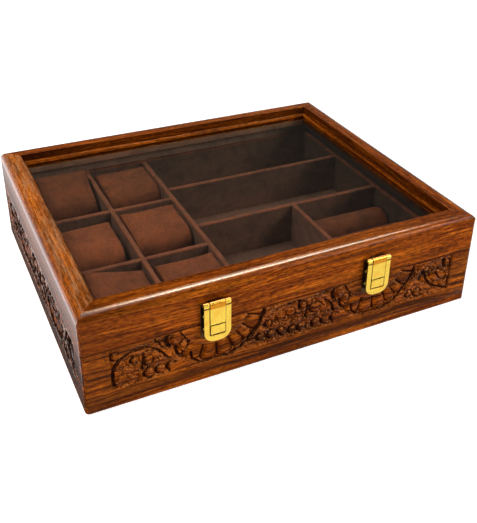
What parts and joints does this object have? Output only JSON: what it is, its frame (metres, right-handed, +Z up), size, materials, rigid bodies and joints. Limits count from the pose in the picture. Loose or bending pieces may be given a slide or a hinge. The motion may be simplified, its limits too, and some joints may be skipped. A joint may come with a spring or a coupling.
{
  "type": "watch and jewellery organizer box",
  "caption": "Carved wooden box with a hinged glass-topped lid, flap latches, and a suede-lined tray with watch pillows, ring rolls and open compartments.",
  "frame": {"origin": "middle of the flat underside", "axes": "+X to the right along the longest side, +Y to the back where the hinges are, +Z up"},
  "size_m": [0.305, 0.2638, 0.077],
  "materials": {
    "wood": "glossy varnish over dark-streaked rosewood",
    "suede": "brown suede with a short nap",
    "brass": "bright polished brass",
    "glass": "clear float glass"
  },
  "bodies": {
    "box": {"base_floor": "wood", "base_front": "wood", "base_back": "wood", "base_left": "wood", "base_right": "wood", "tray_floor": "suede", "tray_front": "suede", "tray_back": "suede", "tray_left": "suede", "tray_right": "suede", "pillow_divider": "suede", "main_divider": "suede", "ring_divider": "suede", "rear_divider": "suede", "middle_divider": "suede", "row_divider_front": "suede", "row_divider_rear": "suede", "ring_roll_rear": "suede", "ring_roll_middle": "suede", "ring_roll_front": "suede", "hinge_left_base_leaf": "brass", "hinge_left_pin": "brass", "hinge_right_base_leaf": "brass", "hinge_right_pin": "brass", "hinge_base_screws": "brass", "latch_left_base_plate": "brass", "latch_right_base_plate": "brass", "latch_base_nails": "brass"},
    "lid": {"lid_front": "wood", "lid_back": "wood", "lid_left": "wood", "lid_right": "wood", "lid_glass": "glass", "bead_front": "wood", "bead_back": "wood", "bead_left": "wood", "bead_right": "wood", "hinge_left_lid_leaf": "brass", "hinge_right_lid_leaf": "brass", "hinge_lid_screws": "brass", "latch_left_lid_plate": "brass", "latch_left_pin": "brass", "latch_right_lid_plate": "brass", "latch_right_pin": "brass", "latch_lid_nails": "brass"},
    "left_flap": {"latch_left_flap": "brass"},
    "right_flap": {"latch_right_flap": "brass"},
    "pillow_rear_left": {"pillow_rear_left": "suede"},
    "pillow_rear_right": {"pillow_rear_right": "suede"},
    "pillow_middle_left": {"pillow_middle_left": "suede"},
    "pillow_middle_right": {"pillow_middle_right": "suede"},
    "pillow_front_left": {"pillow_front_left": "suede"},
    "pillow_front_right": {"pillow_front_right": "suede"}
  },
  "joints": [
    {"name": "lid_hinge", "type": "hinge", "parent": "box", "child": "lid", "pos_m": [0, 0.1296, 0.0472], "axis": [-1, 0, 0], "range_deg": [0, 100]},
    {"name": "left_flap_hinge", "type": "hinge", "parent": "lid", "child": "left_flap", "pos_m": [-0.0625, -0.13, 0.0634], "axis": [-1, 0, 0], "range_deg": [0, 135]},
    {"name": "right_flap_hinge", "type": "hinge", "parent": "lid", "child": "right_flap", "pos_m": [0.0625, -0.13, 0.0634], "axis": [-1, 0, 0], "range_deg": [0, 135]},
    {"name": "pillow_rear_left_lift", "type": "slide", "parent": "box", "child": "pillow_rear_left", "axis": [0, 0, 1], "range_m": [0, 0.003]},
    {"name": "pillow_rear_right_lift", "type": "slide", "parent": "box", "child": "pillow_rear_right", "axis": [0, 0, 1], "range_m": [0, 0.01]},
    {"name": "pillow_middle_left_lift", "type": "slide", "parent": "box", "child": "pillow_middle_left", "axis": [0, 0, 1], "range_m": [0, 0.01]},
    {"name": "pillow_middle_right_lift", "type": "slide", "parent": "box", "child": "pillow_middle_right", "axis": [0, 0, 1], "range_m": [0, 0.015]},
    {"name": "pillow_front_left_lift", "type": "slide", "parent": "box", "child": "pillow_front_left", "axis": [0, 0, 1], "range_m": [0, 0.005]},
    {"name": "pillow_front_right_lift", "type": "slide", "parent": "box", "child": "pillow_front_right", "axis": [0, 0, 1], "range_m": [0, 0.015]}
  ]
}
